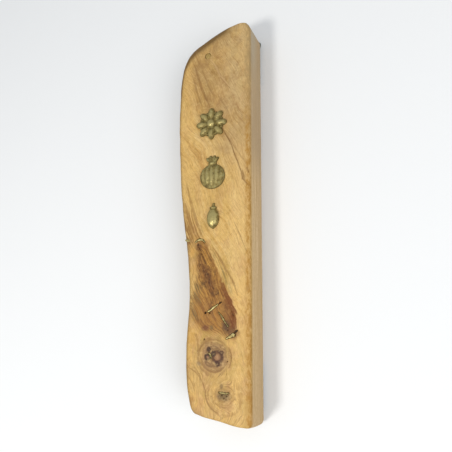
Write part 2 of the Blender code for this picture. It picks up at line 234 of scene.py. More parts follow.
class Shell:
    """A closed mesh put together from rings of points and caps, in millimetres."""

    def __init__(self):
        self.points = []
        self.faces = []

    def ring(self, xyz):
        first = len(self.points)
        self.points.extend(map(tuple, xyz))
        return np.arange(first, len(self.points))

    def bridge(self, near, far):
        """Quads between two rings, near the front and far behind, both anticlockwise seen from the front."""
        for i in range(len(near)):
            j = (i + 1) % len(near)
            self.faces.append((near[i], far[i], far[j], near[j]))

    def stack(self, rings):
        for near, far in zip(rings, rings[1:]):
            self.bridge(near, far)

    def cap(self, ring, height, inner=(), back=False):
        """Fills a ring with triangles through the inner points; height(x, z) gives their y."""
        rim = [(self.points[i][0], self.points[i][2]) for i in ring]
        flat = [Vector(p) for p in rim] + [Vector(p) for p in inner]
        count = len(rim)
        loop = [(i, (i + 1) % count) for i in range(count)]
        found, _, faces, origins, _, _ = delaunay_2d_cdt(flat, loop, [], 1, 1e-6)
        index = []
        for place, origin in zip(found, origins):
            on_rim = [o for o in origin if o < count]
            if on_rim:
                index.append(ring[on_rim[0]])
            else:
                index.append(len(self.points))
                self.points.append((place.x, 0.0, place.y))
        made = [i for i in index if i >= ring[-1] + 1]
        if made:
            xz = np.array([(self.points[i][0], self.points[i][2]) for i in made])
            for i, y in zip(made, height(xz)):
                self.points[i] = (self.points[i][0], y, self.points[i][2])
        for face in faces:
            corners = [index[i] for i in face]
            a, b, c = (self.points[i] for i in corners[:3])
            turn = (b[0] - a[0]) * (c[2] - a[2]) - (b[2] - a[2]) * (c[0] - a[0])
            if (turn < 0) != back:
                corners.reverse()
            self.faces.append(tuple(corners))

    def make(self, name):
        mesh = bpy.data.meshes.new(name)
        mesh.from_pydata([(x * MM, y * MM, z * MM) for x, y, z in self.points], [], self.faces)
        mesh.update()
        return new_object(name, mesh)


def coordinates(obj):
    found = np.empty(len(obj.data.vertices) * 3, np.float32)
    obj.data.vertices.foreach_get("co", found)
    return found.reshape(-1, 3).astype(float) / MM


def set_coordinates(obj, millimetres):
    obj.data.vertices.foreach_set("co", (millimetres * MM).astype(np.float32).ravel())
    obj.data.update()


def set_attribute(obj, name, values):
    made = obj.data.attributes.new(name, "FLOAT", "POINT")
    made.data.foreach_set("value", np.asarray(values, np.float32))


def apply_modifiers(obj):
    graph = bpy.context.evaluated_depsgraph_get()
    mesh = bpy.data.meshes.new_from_object(obj.evaluated_get(graph))
    obj.modifiers.clear()
    old = obj.data
    obj.data = mesh
    bpy.data.meshes.remove(old)
    return obj


def cut(obj, cutter):
    """Cuts a closed shape out of another and removes the cutter."""
    modifier = obj.modifiers.new("cut", "BOOLEAN")
    modifier.operation = "DIFFERENCE"
    modifier.solver = "EXACT"
    modifier.object = cutter
    bpy.context.view_layer.update()
    apply_modifiers(obj)
    bpy.data.objects.remove(cutter, do_unlink=True)


def ring_at(outline, y):
    return np.column_stack([outline[:, 0], np.full(len(outline), y), outline[:, 1]])


def prism(name, outline, low_y, high_y):
    """A plain flat solid with this outline in x and z."""
    shell = Shell()
    outline = np.array(outline, float)
    near, far = shell.ring(ring_at(outline, low_y)), shell.ring(ring_at(outline, high_y))
    shell.bridge(near, far)
    shell.faces.append(tuple(near))
    shell.faces.append(tuple(far[::-1]))
    return shell.make(name)


def rectangle(low_x, low_z, high_x, high_z):
    return [(low_x, low_z), (high_x, low_z), (high_x, high_z), (low_x, high_z)]


def circle(x, z, radius, steps=24):
    angles = [2 * math.pi * i / steps for i in range(steps)]
    return [(x + radius * math.cos(a), z + radius * math.sin(a)) for a in angles]


def outward(outline):
    """Unit normals of an anticlockwise outline."""
    run = np.roll(outline, -1, 0) - np.roll(outline, 1, 0)
    run /= np.linalg.norm(run, axis=1)[:, None]
    return np.column_stack([run[:, 1], -run[:, 0]])


def resample(outline, spacing):
    """The closed outline again, with points evenly this far apart."""
    closed = np.vstack([outline, outline[:1]])
    run = np.concatenate([[0], np.cumsum(np.linalg.norm(np.diff(closed, axis=0), axis=1))])
    places = np.linspace(0, run[-1], max(int(run[-1] / spacing), 8), endpoint=False)
    return np.column_stack([np.interp(places, run, closed[:, k]) for k in (0, 1)])


def inside(points, outline):
    """True for each point inside the outline."""
    x, z = points[:, 0][:, None], points[:, 1][:, None]
    x0, z0 = outline[:, 0][None], outline[:, 1][None]
    x1, z1 = np.roll(outline, -1, 0)[:, 0][None], np.roll(outline, -1, 0)[:, 1][None]
    spans = (z0 > z) != (z1 > z)
    rise = np.where(z1 == z0, 1.0, z1 - z0)
    crossing = x < (x1 - x0) * (z - z0) / rise + x0
    return (spans & crossing).sum(1) % 2 == 1


def grid(low, high, spacing):
    """Points of a triangular grid over a rectangle."""
    rows = np.arange(low[1], high[1], spacing * ROW_STEP)
    columns = np.arange(low[0], high[0], spacing)
    x, z = np.meshgrid(columns, rows)
    x = x + (np.arange(len(rows)) % 2 * spacing / 2)[:, None]
    return np.column_stack([x.ravel(), z.ravel()])


def line_distance(points, line):
    """Distance from points to a line of (x, z, half width), less the half width there."""
    best = np.full(len(points), 1e9)
    line = np.array(line, float)
    for a, b in zip(line, line[1:]):
        run = b[:2] - a[:2]
        share = np.clip(((points - a[:2]) @ run) / (run @ run), 0, 1)
        away = np.linalg.norm(points - (a[:2] + share[:, None] * run), axis=1)
        best = np.minimum(best, away - (a[2] + share * (b[2] - a[2])))
    return best


def hole_distance(points, hole):
    x, z, half_x, half_z, turn, _ = hole
    c, s = math.cos(math.radians(turn)), math.sin(math.radians(turn))
    along = (points[:, 0] - x) * c + (points[:, 1] - z) * s
    across = -(points[:, 0] - x) * s + (points[:, 1] - z) * c
    return (np.hypot(along / half_x, across / half_z) - 1) * min(half_x, half_z)


def with_width(line, half):
    """The line with a half width that runs out at both ends."""
    last = len(line) - 1
    return [(x, z, half * (0.25 if i in (0, last) else 1.0)) for i, (x, z) in enumerate(line)]


def features():
    """(distance function, depth) of everything let into the front."""
    found = []
    for line in FILL_LINES.values():
        wider = [(x, z, half + POCKET_GAP) for x, z, half in line]
        found.append((lambda p, line=wider: line_distance(p, line), POCKET_DEPTH))
    for hole in HOLES:
        found.append((lambda p, hole=hole: hole_distance(p, hole), hole[5]))
    for line, half, depth in CRACKS + RIDGES:
        found.append((lambda p, line=with_width(line, half): line_distance(p, line), depth))
    return found


FEATURES = features()


def reach_of_features(points):
    drawn = [line_distance(points, with_width(line, half)) + STAIN_REACH for line, half, _ in STAINS]
    return np.min([distance(points) for distance, _ in FEATURES] + drawn, axis=0)


def let_in(points):
    """How far holes, cracks and pockets let the front in at each point; negative where it stands proud."""
    rough = noise_at(in_3d(points), 1.6, 3.1) * 0.09
    total = np.zeros(len(points))
    for distance, depth in FEATURES:
        share = 1 - smoothstep(-0.16, 0.1, distance(points) + rough)
        total = np.where(share * abs(depth) > abs(total), share * depth, total)
    return total


def swell(points):
    """The slight waves that hand sanding leaves, in millimetres."""
    flat = in_3d(points)
    return 0.10 * noise_at(flat * [1, 0.4, 1], 0.11, 7.0) + 0.035 * noise_at(flat * [1, 0.5, 1], 0.35, 1.0)


def front_height(points):
    return FRONT + swell(points) + let_in(points)


def slab_outline():
    """The slab's own outline: the CAD ring where the flat side begins, drawn smooth and evenly divided."""
    level = FRONT + ARRIS
    ring = {
        (round(v.co.x / MM, 2), round(v.co.z / MM, 2))
        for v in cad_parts["case_body"].data.vertices
        if abs(v.co.y / MM - level) < 0.02
    }
    nugget_x, nugget_z = middle_of("edge_fill")
    ring = [p for p in ring if math.hypot(p[0] - nugget_x, p[1] - nugget_z) > NUGGET_POCKET]
    middle_x, squat, apart, curve_step = 3.0, 5.0, 0.12, 0.3
    ring = sorted(ring, key=lambda p: math.atan2(p[1] / squat, p[0] - middle_x))
    points = [np.array(ring[0])]
    for p in ring[1:]:
        if np.linalg.norm(p - points[-1]) > apart:
            points.append(np.array(p))
    filled = []
    for a, b in zip(points, points[1:] + points[:1]):
        parts = max(1, int(np.linalg.norm(b - a) / 2)) if min(a[0], b[0]) > SLAB_HIGH.x / MM - 0.05 else 1
        filled += [a + (b - a) * i / parts for i in range(parts)]
    curve = []
    count = len(filled)
    for i in range(count):
        p0, p1, p2, p3 = (filled[(i + k) % count] for k in (-1, 0, 1, 2))
        d0, d1, d2 = (np.linalg.norm(q - p) for p, q in ((p0, p1), (p1, p2), (p2, p3)))
        m1 = ((p1 - p0) / d0 * d1 + (p2 - p1) / d1 * d0) / (d0 + d1) * d1
        m2 = ((p2 - p1) / d1 * d2 + (p3 - p2) / d2 * d1) / (d1 + d2) * d1
        for t in np.arange(0, 1, min(1.0, curve_step / d1)):
            a, b = 2 * t**3 - 3 * t**2 + 1, t**3 - 2 * t**2 + t
            curve.append(a * p1 + b * m1 + (1 - a) * p2 + (t**3 - t**2) * m2)
    return resample(np.array(curve), RIM_SPACING)


def cut_hollows(slab):
    """Cuts the scroll channel, the cover's groove and slot, and the holes for the plug and the pins."""
    cover_low, cover_high = COVER_LOW / MM, COVER_HIGH / MM
    middle = (cover_low.x + cover_high.x) / 2
    half = CHANNEL_WIDTH / 2
    channel = arc(middle, CHANNEL_ENDS[1] - half, half, 0, 180, 16)
    channel += arc(middle, CHANNEL_ENDS[0] + half, half, 180, 360, 16)
    cut(slab, prism("channel", channel, CHANNEL_FLOOR, cover_low.y))
    groove = rectangle(
        cover_low.x - CLEARANCE, cover_low.z - CLEARANCE, cover_high.x + CLEARANCE, PAST_THE_END
    )
    cut(slab, prism("groove", groove, cover_low.y - CLEARANCE, cover_high.y + CLEARANCE))
    slot = rectangle(cover_low.x + SLOT_INSET, SLOT_BOTTOM, cover_high.x - SLOT_INSET, PAST_THE_END)
    cut(slab, prism("slot", slot, cover_high.y, BACK + 1))
    plug_hole = circle(*middle_of("top_plug"), PLUG_HOLE_RADIUS)
    cut(slab, prism("plug_hole", plug_hole, FRONT - 1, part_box("top_plug")[1].y / MM))
    for place in PINS.values():
        for x, z in place:
            cut(slab, prism("pin_hole", circle(x, z, PIN_RADIUS + 0.1, 16), FRONT - 1, PIN_TIP + 0.1))


def mark_looks(slab, outer, left_facing, rim):
    """Stores where the slab has patina and painted shade along its natural edge, painted shade in its
    hollows, stains and a pale line, for its material.
    """
    points = coordinates(slab)
    flat = points[:, [0, 2]]
    near = np.empty(len(points))
    edge = np.empty(len(points))
    for start in range(0, len(points), CHUNK):
        part = slice(start, start + CHUNK)
        away = np.linalg.norm(flat[part][:, None] - outer[None], axis=2)
        near[part] = away.min(1)
        edge[part] = left_facing[away.argmin(1)]
    # Patina and painted shade along the natural edge: wider and stronger towards the top, and only near the
    # front
    width = PATINA_AND_SHADE_WIDTH + PATINA_AND_SHADE_WIDTH * smoothstep(62.0, 71.0, points[:, 2])
    patina_and_shade = (1 - smoothstep(0.0, 1.0, near / width)) * edge
    patina_and_shade = patina_and_shade * (1 - smoothstep(FRONT + 1.5, FRONT + 5.0, points[:, 1]))
    patina_and_shade *= 0.34 + 0.66 * smoothstep(35.0, 62.0, points[:, 2])
    set_attribute(slab, "patina_and_shade", patina_and_shade)
    # Painted shade in the holes, cracks and pockets of the front, darker where they go deeper
    on_front = (points[:, 1] < FRONT + 1.3) & inside(flat, rim)
    depth = np.where(on_front, points[:, 1] - FRONT - 0.12, 0.0)
    set_attribute(slab, "hollow_shade", smoothstep(0.06, 0.3, depth))
    line, half, _ = RIDGES[0]
    ridge = line_distance(flat, with_width(line, half))
    stain = np.zeros(len(points))
    for line, half, strength in STAINS:
        away = line_distance(flat, with_width(line, half))
        stain = np.maximum(stain, strength * (1 - smoothstep(-0.1, 0.25, away)))
    set_attribute(slab, "stain", stain * (points[:, 1] < FRONT + 2.5))
    set_attribute(slab, "pale", (1 - smoothstep(-0.1, 0.35, ridge)) * on_front)


def make_slab():
    outline = slab_outline()
    normals = outward(outline)
    live = smoothstep(0.35, 0.9, -normals[:, 0])
    live = np.convolve(np.concatenate([live[-6:], live, live[:6]]), np.ones(13) / 13, "valid")
    radius = ARRIS + (LIVE_ROUNDING - ARRIS) * live + WORN_ARRIS * smoothstep(0.5, 0.9, normals[:, 0])
    left_facing = smoothstep(0.1, 0.45, -normals[:, 0])
    spread = LIVE_SPREAD * np.maximum(live, 0.8 * np.maximum(left_facing, smoothstep(0.5, 0.9, normals[:, 1])))
    shell = Shell()
    rings = []

    def add(inset, y, wave):
        place = outline - normals * (inset - spread)[:, None]
        solid = np.column_stack([place[:, 0], y, place[:, 1]])
        bark = 0.30 * noise_at(solid, 0.16, 2.0) + 0.16 * noise_at(solid * [1, 1, 0.5], 0.5, 5.0)
        place = place + normals * (bark * live * wave)[:, None]
        drop = BACK_DROP * smoothstep(72.0, 79.0, -place[:, 1]) * smoothstep(0.0, 12.0, place[:, 0])
        place[:, 1] -= drop * (1 - (1 - (y - FRONT) / (BACK - FRONT)) ** 2)
        rings.append(shell.ring(np.column_stack([place[:, 0], y, place[:, 1]])))

    for k in range(ROUND_STEPS + 1):
        angle = math.pi / 2 * k / ROUND_STEPS
        y = FRONT + radius * (1 - math.cos(angle))
        if k == 0:
            y = front_height(outline - normals * (radius - spread)[:, None])
        add(radius * (1 - math.sin(angle)), y, k / ROUND_STEPS)
    for k in range(1, SIDE_STEPS):
        share = k / SIDE_STEPS
        y = (FRONT + radius) * (1 - share) + (BACK - ARRIS) * share
        add(np.zeros(len(outline)), y, 1.0)
    for k in range(BACK_STEPS + 1):
        angle = math.pi / 2 * k / BACK_STEPS
        inset = np.full(len(outline), ARRIS * (1 - math.cos(angle)))
        add(inset, np.full(len(outline), BACK - ARRIS + ARRIS * math.sin(angle)), 1 - k / BACK_STEPS)
    shell.stack(rings)
    rim = np.array([(shell.points[i][0], shell.points[i][2]) for i in rings[0]])
    low, high = rim.min(0), rim.max(0)
    coarse = grid(low, high, COARSE)
    coarse = coarse[inside(coarse, rim)]
    coarse = coarse[rim_distance(coarse, rim) > COARSE_FROM_RIM]
    coarse = coarse[reach_of_features(coarse) > FINE_REACH]
    fine = grid(low + 0.4, high - 0.4, FINE)
    fine = fine[reach_of_features(fine) < FINE_REACH - 0.15]
    fine = fine[inside(fine, rim)]
    fine = fine[rim_distance(fine, rim) > FINE_FROM_RIM]
    shell.cap(rings[0], front_height, np.vstack([coarse, fine]))
    shell.cap(rings[-1], lambda p: np.full(len(p), BACK), back=True)
    slab = shell.make("olive_slab")
    cut_hollows(slab)
    mark_looks(slab, outline + normals * spread[:, None], left_facing, rim)
    return smooth(slab, SLAB_SHARP)


PINS = {
    "rosette_ornament": [(-0.7, 40.7), (-0.7, 33.7)],
    "pomegranate_ornament": [(0.0, 17.6), (0.0, 11.6)],
    "olive_ornament": [(0.5, -3.6)],
}
PIN_RADIUS = 0.6
PIN_TIP = FRONT + 2.0
NUGGET_POCKET = 2.2
PLUG_HOLE_RADIUS = 1.42
PLUG_RADIUS = 1.24
# Radius and drop below the wood of each ring of the plug
PLUG_RINGS = [(0.35, -0.05), (0.7, -0.035), (0.95, 0.0), (1.08, 0.05)]
PLUG_RINGS += [(PLUG_RADIUS, 0.14), (PLUG_RADIUS, 2.2)]
# Inset and drop below its face of each ring of an inlay
INLAY_INSET = 0.09
INLAY_RINGS = [(INLAY_INSET, 0.0), (0.05, 0.02), (0.015, 0.06), (0.0, 0.13), (0.0, POCKET_DEPTH - 0.08)]
INLAY_GRID = 0.17
INLAY_WANDER = 0.16
# Inset of a pad's side at each share of its thickness
PAD_SIDE = [(0.1, 0.0), (0.0, 0.12), (-0.09, 0.35), (-0.11, 0.55), (-0.07, 0.8), (0.0, 0.93), (0.06, 1.0)]


def ellipsoid(centre, halves, turn=0.0, segments=32):
    """A closed ellipsoid, turned about Y."""
    edit = bmesh.new()
    bmesh.ops.create_uvsphere(edit, u_segments=segments, v_segments=segments // 2, radius=1.0)
    mesh = bpy.data.meshes.new("lobe")
    edit.to_mesh(mesh)
    edit.free()
    obj = new_object("lobe", mesh)
    shape = Matrix.Diagonal((*(h * MM for h in halves), 1.0))
    obj.data.transform(Matrix.Translation(Vector(centre) * MM) @ Matrix.Rotation(turn, 4, "Y") @ shape)
    return obj


def join(objects, name):
    """One object that holds all of these."""
    with bpy.context.temp_override(active_object=objects[0], selected_editable_objects=objects):
        bpy.ops.object.join()
    objects[0].name = name
    objects[0].data.name = name
    return objects[0]


def cast(name, lobes, voxel=0.13):
    """A casting from lobes that flow together: (x, z, half width, half height, rise, turn in degrees)."""
    seat = FRONT + 0.06
    pieces = []
    for x, z, half_x, half_z, rise, turn in lobes:
        lobe = ellipsoid((x, seat - rise * 0.22, z), (half_x, rise * 0.78, half_z), math.radians(turn), 24)
        points = coordinates(lobe)
        points[:, 1] = np.minimum(points[:, 1], seat)
        set_coordinates(lobe, points)
        pieces.append(lobe)
    for x, z in PINS[name]:
        pieces.append(prism("pin", circle(x, z, PIN_RADIUS, 16), seat - 0.5, PIN_TIP))
    made = join(pieces, name.replace("ornament", "casting"))
    remesh = made.modifiers.new("flow", "REMESH")
    remesh.mode = "VOXEL"
    remesh.voxel_size = voxel * MM
    soften = made.modifiers.new("soften", "SMOOTH")
    soften.factor = 0.5
    soften.iterations = 2
    bpy.context.view_layer.update()
    apply_modifiers(made)
    points = coordinates(made)
    proud = smoothstep(FRONT + 0.1, FRONT - 0.4, points[:, 1])
    dents = 0.05 * noise_at(points, 0.9, 4.0) + 0.03 * noise_at(points, 2.6, 9.0)
    points[:, 1] += dents * proud
    set_coordinates(made, points)
    lowest = points[:, 1].min()
    crest = smoothstep(FRONT - 0.35, lowest * 0.92 + FRONT * 0.08, points[:, 1])
    set_attribute(made, "crest", crest)
    return smooth(made)


def rosette_lobes(x, z):
    """Eight petals round a boss, with a bead between each two."""
    lobes = [(x, z, 2.0, 2.0, 2.15, 0)]
    for i in range(8):
        turn = 45 * i
        a = math.radians(turn)
        lobes.append((x + 4.35 * math.sin(a), z + 4.35 * math.cos(a), 1.5, 2.6, 1.7, turn))
        b = math.radians(turn + 22.5)
        lobes.append((x + 4.9 * math.sin(b), z + 4.9 * math.cos(b), 0.62, 0.62, 1.0, 0))
    lobes.append((x, z, 3.4, 3.4, 0.7, 0))
    return lobes


def pomegranate_lobes(x, z):
    """A round fruit with faint seams, a waist and a flared crown of four tips."""
    fruit = z - 1.7
    lobes = [(x, fruit, 5.6, 5.3, 1.55, 0)]
    for offset in (-3.9, -2.0, 0.0, 2.0, 3.9):
        tall = math.sqrt(1 - (offset / 5.7) ** 2) * 4.9
        lobes.append((x + offset, fruit, 1.15, tall, 2.1 - abs(offset) * 0.13, 0))
    lobes.append((x, fruit + 5.5, 1.9, 1.1, 1.5, 0))
    for turn in (-46, -16, 16, 46):
        a = math.radians(turn)
        lobes.append((x + 2.1 * math.sin(a), fruit + 5.9 + 1.5 * math.cos(a), 0.75, 1.7, 1.25, turn))
    return lobes


def olive_lobes(x, z):
    """An olive with a cap and a small tip."""
    return [
        (x, z - 0.9, 2.55, 4.1, 2.1, 0),
        (x, z + 3.3, 1.5, 0.75, 1.5, 0),
        (x + 0.1, z + 4.5, 0.55, 1.0, 1.0, 12),
        (x, z - 4.6, 0.6, 0.6, 0.8, 0),
    ]


def inlay_outline(line):
    """The outline of a fill: its line widened to both sides, with round ends and a wandering edge."""
    line = np.array(line, float)
    centre = line[:, :2]
    run = np.concatenate([[0], np.cumsum(np.linalg.norm(np.diff(centre, axis=0), axis=1))])
    places = np.linspace(0, run[-1], max(8, int(run[-1] / 0.2)))
    x, z, half = (np.interp(places, run, line[:, k]) for k in range(3))
    tangent = np.gradient(np.column_stack([x, z]), axis=0)
    tangent /= np.linalg.norm(tangent, axis=1)[:, None]
    across = np.column_stack([-tangent[:, 1], tangent[:, 0]])
    middle = np.column_stack([x, z])
    edge, other = (half * (1 + INLAY_WANDER * noise_at(in_3d(middle), 1.7, seed)) for seed in (6.0, 8.0))
    tip = middle[-1] + tangent[-1] * half[-1] * 0.9
    foot = middle[0] - tangent[0] * half[0] * 0.9
    right = middle - across * other[:, None]
    left = middle + across * edge[:, None]
    return resample(np.vstack([right, tip[None], left[::-1], foot[None]]), 0.12)


def make_inlay(name, line):
    """Brass that fills a crack: flush with the wood, a little crowned, with a rounded rim."""
    outline = inlay_outline(line)
    if np.sum(outline[:, 0] * np.roll(outline[:, 1], -1) - np.roll(outline[:, 0], -1) * outline[:, 1]) < 0:
        outline = outline[::-1]
    normals = outward(outline)
    shell = Shell()
    rings = []
    base = FRONT + float(np.mean(swell(outline))) - 0.03
    for inset, drop in INLAY_RINGS:
        place = outline - normals * inset
        rings.append(shell.ring(ring_at(place, base + drop)))
    shell.stack(rings)
    rim = outline - normals * INLAY_INSET
    inner = grid(rim.min(0), rim.max(0), INLAY_GRID)
    inner = inner[inside(inner, rim)]
    inner = inner[rim_distance(inner, rim) > 0.1]

    def crown(points):
        flat = in_3d(points)
        return base - 0.07 * smoothstep(0, 0.4, rim_distance(points, rim)) + 0.03 * noise_at(flat, 1.9, 2.5)

    shell.cap(rings[0], crown, inner)
    shell.cap(rings[-1], lambda p: np.full(len(p), base + POCKET_DEPTH), back=True)
    return smooth(shell.make(name.replace("fill", "brass")), 60)


def make_plug():
    """The end of a brass rod, slightly domed."""
    x, z = middle_of("top_plug")
    shell = Shell()
    rings = []
    face = FRONT + float(swell(np.array([[x, z]]))[0])
    for radius, drop in PLUG_RINGS:
        rings.append(shell.ring(ring_at(np.array(circle(x, z, radius, 40)), face + drop)))
    shell.stack(rings)
    shell.faces.append(tuple(rings[0]))
    shell.faces.append(tuple(rings[-1][::-1]))
    return smooth(shell.make("plug_rod"), 60)


def make_nugget():
    low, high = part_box("edge_fill")
    made = ellipsoid((low + high) / 2 / MM + Vector((-0.2, -0.4, 0)), (1.35, 0.68, 0.6), math.radians(12), 40)
    points = coordinates(made)
    points += (0.10 * noise_at(points, 0.8, 1.0) + 0.05 * noise_at(points, 2.4, 3.0))[:, None] * [1, 0.5, 1]
    set_coordinates(made, points)
    made.name = "edge_nugget"
    return smooth(made)


def make_cover():
    """The sliding cover, its edges eased with a plane."""
    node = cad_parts["back_cover"]
    mesh = node.data.copy()
    made = new_object("cover_panel", mesh)
    edit = bmesh.new()
    edit.from_mesh(mesh)
    bmesh.ops.remove_doubles(edit, verts=edit.verts, dist=0.00001)
    bmesh.ops.dissolve_limit(edit, angle_limit=math.radians(1), verts=edit.verts, edges=edit.edges)
    edit.to_mesh(mesh)
    edit.free()
    ease = made.modifiers.new("ease", "BEVEL")
    ease.width = 0.22 * MM
    ease.segments = 2
    ease.limit_method = "ANGLE"
    ease.angle_limit = math.radians(40)
    bpy.context.view_layer.update()
    apply_modifiers(made)
    return smooth(made, 30)


def make_scroll():
    """A rolled sheet of parchment whose edge wanders a little from turn to turn."""
    low, high = SCROLL_LOW / MM, SCROLL_HIGH / MM
    x, y = (low.x + high.x) / 2 - 0.1, (low.y + high.y) / 2 - 0.05
    turns, steps, rows = 6, 56, 60
    core, reach, thick = 1.25, 3.7, 0.2
    count = turns * steps
    shell = Shell()
    rings = []
    for z in np.linspace(low.z, high.z, rows):
        outer, inner = [], []
        end = (z - low.z) / (high.z - low.z) * 2 - 1
        for i in range(count + 1):
            angle = 2 * math.pi * i / steps + 0.12 * math.sin(end * 2)
            radius = core + (reach - core) * i / count + 0.035 * math.sin(3 * angle + end * 4)
            lift = 0.35 * math.sin(i / count * 9) * abs(end) ** 8 * (-1 if end > 0 else 1)
            for side, r in ((outer, radius), (inner, radius - thick)):
                side.append((x + r * math.cos(angle), y + r * math.sin(angle), z + lift))
        rings.append(shell.ring(outer + inner[::-1]))
    for lower, upper in zip(rings, rings[1:]):
        size = len(lower)
        for i in range(size):
            j = (i + 1) % size
            shell.faces.append((lower[i], lower[j], upper[j], upper[i]))
    half = count + 1
    for ring, flip in ((rings[0], True), (rings[-1], False)):
        for i in range(count):
            quad = (ring[i], ring[i + 1], ring[2 * half - 2 - i], ring[2 * half - 1 - i])
            shell.faces.append(quad[::-1] if flip else quad)
    return smooth(shell.make("parchment_roll"), 45)


def make_pad(node):
    """A foam tape pad pressed on the back of the slab: its sides bulge and its corners are a little round."""
    low, high = (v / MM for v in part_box(node))
    corner = 0.5
    outline = []
    for x, z, start in (
        (high.x - corner, low.z + corner, -90),
        (high.x - corner, high.z - corner, 0),
        (low.x + corner, high.z - corner, 90),
        (low.x + corner, low.z + corner, 180),
    ):
        outline += arc(x, z, corner, start, start + 90, 4)
    outline = resample(np.array(outline), 0.45)
    normals = outward(outline)
    wander = noise_at(in_3d(outline), 0.5, 3.0) * 0.12
    outline = outline + normals * (wander - 0.12)[:, None]
    if node == "tape_top_right":
        crooked = smoothstep(high.z - 1.2, high.z - 3.5, outline[:, 1]) * (outline[:, 0] > low.x + 1)
        outline[:, 0] -= 0.75 * crooked
    shell = Shell()
    rings = []
    near = BACK + 0.02
    thick = high.y - near
    for inset, share in PAD_SIDE:
        rings.append(shell.ring(ring_at(outline - normals * inset, near + thick * share)))
    shell.stack(rings)
    shell.cap(rings[0], lambda p: np.full(len(p), near))
    shell.cap(rings[-1], lambda p: np.full(len(p), high.y), back=True)
    return smooth(shell.make(node + "_foam"), 50)


# ---------------------------------------------------------------- materials


class Graph:
    """Builds a material's nodes from formulas, and its colour in coats."""

    def __init__(self, name):
        self.material = bpy.data.materials.new(name)
        self.material.use_nodes = True
        self.nodes = self.material.node_tree.nodes
        self.links = self.material.node_tree.links
        self.nodes.clear()
        self.shader = self.node("BsdfPrincipled")
        self.out = self.node("OutputMaterial", [(0, self.shader.outputs[0])])
        self.colour = None

    def node(self, kind, sockets=(), **settings):
        """A new node with these settings; sockets are pairs of a name or number and a value."""
        made = self.nodes.new("ShaderNode" + kind)
        for name, value in settings.items():
            setattr(made, name, value)
        for socket, value in sockets:
            self.put(made.inputs[socket], value)
        return made

    def put(self, socket, value):
        if isinstance(value, Term):
            value = value.socket
        if hasattr(value, "is_output"):
            self.links.new(value, socket)
        elif isinstance(value, tuple) and len(value) == 3 and len(socket.default_value) == 4:
            socket.default_value = (*value, 1.0)
        else:
            socket.default_value = value

    def maths(self, operation, *values):
        return Term(self, self.node("Math", enumerate(values), operation=operation).outputs[0])

    def place(self):
        """The object's own coordinates in millimetres, as three terms and as a vector."""
        own = self.node("TexCoord").outputs["Object"]
        scaled = self.node("VectorMath", operation="SCALE")
        self.put(scaled.inputs[0], own)
        self.put(scaled.inputs["Scale"], 1 / MM)
        split = self.node("SeparateXYZ", [(0, scaled.outputs[0])])
        return [Term(self, socket) for socket in split.outputs], scaled.outputs[0]

    def vector(self, value):
        """A vector socket, made here where three numbers are given."""
        return self.node("CombineXYZ", enumerate(value)).outputs[0] if isinstance(value, tuple) else value

    def noise(self, vector, scale=1.0, detail=2.0, roughness=0.6):
        names = ("Vector", "Scale", "Detail", "Roughness")
        sockets = zip(names, (self.vector(vector), scale, detail, roughness))
        return Term(self, self.node("TexNoise", sockets).outputs["Fac"])

    def cells(self, vector, scale=1.0):
        sockets = ("Vector", self.vector(vector)), ("Scale", scale)
        return Term(self, self.node("TexVoronoi", sockets).outputs["Distance"])

    def attribute(self, name):
        return Term(self, self.node("Attribute", attribute_name=name).outputs["Fac"])

    def step(self, value, low, high):
        """0 below low and 1 above high, smooth between; low may be above high."""
        ends = (1.0, 0.0) if low > high else (0.0, 1.0)
        names = ("Value", "From Min", "From Max", "To Min", "To Max")
        sockets = zip(names, (value, min(low, high), max(low, high), *ends))
        return Term(self, self.node("MapRange", sockets, interpolation_type="SMOOTHSTEP").outputs[0])

    def band(self, value, *ends):
        """The product of two steps, which makes a band with soft edges."""
        return self.step(value, *ends[:2]) * self.step(value, *ends[2:])

    def mix(self, share, a, b):
        return self.node("Mix", [("Factor", share), (6, a), (7, b)], data_type="RGBA").outputs[2]

    def ramp(self, value, *stops):
        """Starts the colour as a ramp through (place, red, green, blue) stops."""
        node = self.node("ValToRGB", [(0, value)])
        elements = node.color_ramp.elements
        for i, (place, *hue) in enumerate(stops):
            element = elements[i] if i < 2 else elements.new(place)
            element.position = place
            element.color = (*srgb(*hue), 1.0)
        self.colour = node.outputs[0]

    def coat(self, share, *hue):
        """Lays a 0..255 colour over the colour so far."""
        self.colour = self.mix(share, self.colour, srgb(*hue))

    def finish(self, relief, distance, strength, **values):
        """Sets the shader's colour, bump and other values, and gives the material."""
        bump = self.node("Bump", [("Height", relief), ("Distance", distance), ("Strength", strength)])
        for name, value in {"Base Color": self.colour, "Normal": bump.outputs[0], **values}.items():
            self.put(self.shader.inputs[name.replace("_", " ")], value)
        return self.material


class Term:
    """A number that a node gives, which formulas can use."""

    def __init__(self, graph, socket):
        self.graph = graph
        self.socket = socket


def term_method(operation, turned=False):
    """A method that puts a term and any others through one maths node."""

    def method(self, *others):
        values = (*others, self) if turned else (self, *others)
        return self.graph.maths(operation, *values)

    return method


TERM_METHODS = {
    "__add__": "ADD",
    "__radd__": "ADD",
    "__sub__": "SUBTRACT",
    "__mul__": "MULTIPLY",
    "__rmul__": "MULTIPLY",
    "__truediv__": "DIVIDE",
    "most": "MAXIMUM",
    "least": "MINIMUM",
    "size": "ABSOLUTE",
    "exp": "EXPONENT",
    "root": "SQRT",
}
for method_name, node_operation in TERM_METHODS.items():
    setattr(Term, method_name, term_method(node_operation))
Term.__rsub__ = term_method("SUBTRACT", turned=True)


def srgb(*colour):
    """Linear colour from the usual 0..255 values."""
    shares = [value / 255 for value in colour]
    return tuple(c / 12.92 if c <= 0.04045 else ((c + 0.055) / 1.055) ** 2.4 for c in shares)


# Knots that the grain flows round: x, z, radius of their reach
BIG_KNOT = (*BIG_KNOT_PLACE, 7.6)
LOW_KNOT = (5.6, -70.6, 9.5)
GRAIN_X, GRAIN_Z, GRAIN_Y = 0.90, 0.43, 1.8
BEND_FROM, BEND = -18.0, 0.0024


def hypotenuse(dx, dz):
    return (dx * dx + dz * dz).root()


